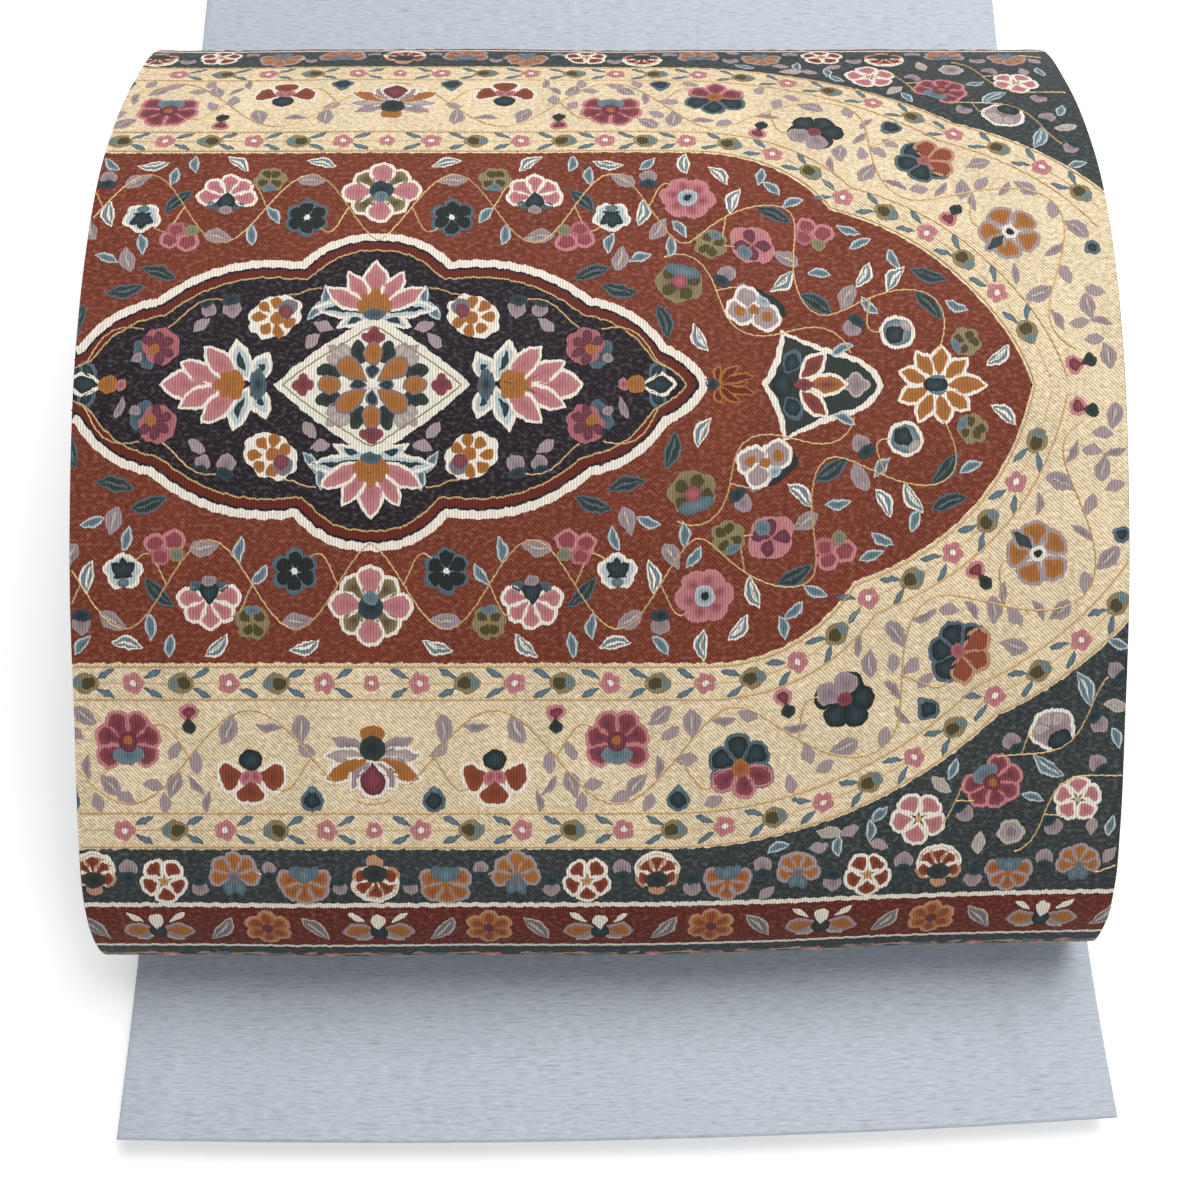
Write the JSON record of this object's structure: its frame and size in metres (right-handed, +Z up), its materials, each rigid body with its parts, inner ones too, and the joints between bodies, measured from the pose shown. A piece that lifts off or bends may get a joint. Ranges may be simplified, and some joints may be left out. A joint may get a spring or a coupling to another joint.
{
  "type": "obi sash",
  "caption": "Full-width tapestry obi sash laid out in its drum form, with a plain tail and its remainder folded flat.",
  "frame": {"origin": "middle of the base, under the bounding box's centre", "axes": "+Z up from the table, +X across the cloth's width, +Y from the drum's lip back along the sash"},
  "size_m": [0.316, 0.6992, 0.1067],
  "materials": {
    "plain_silk": "plain slubbed silk, pale blue-grey, soft sheen",
    "tapestry_silk": "figured tapestry weave in many colours, with gold thread"
  },
  "bodies": {
    "root": {"tare_tail": "plain_silk", "taiko_underfold": "plain_silk", "taiko_face": "tapestry_silk", "sash_band": "plain_silk", "folded_sash": "plain_silk"}
  },
  "joints": []
}
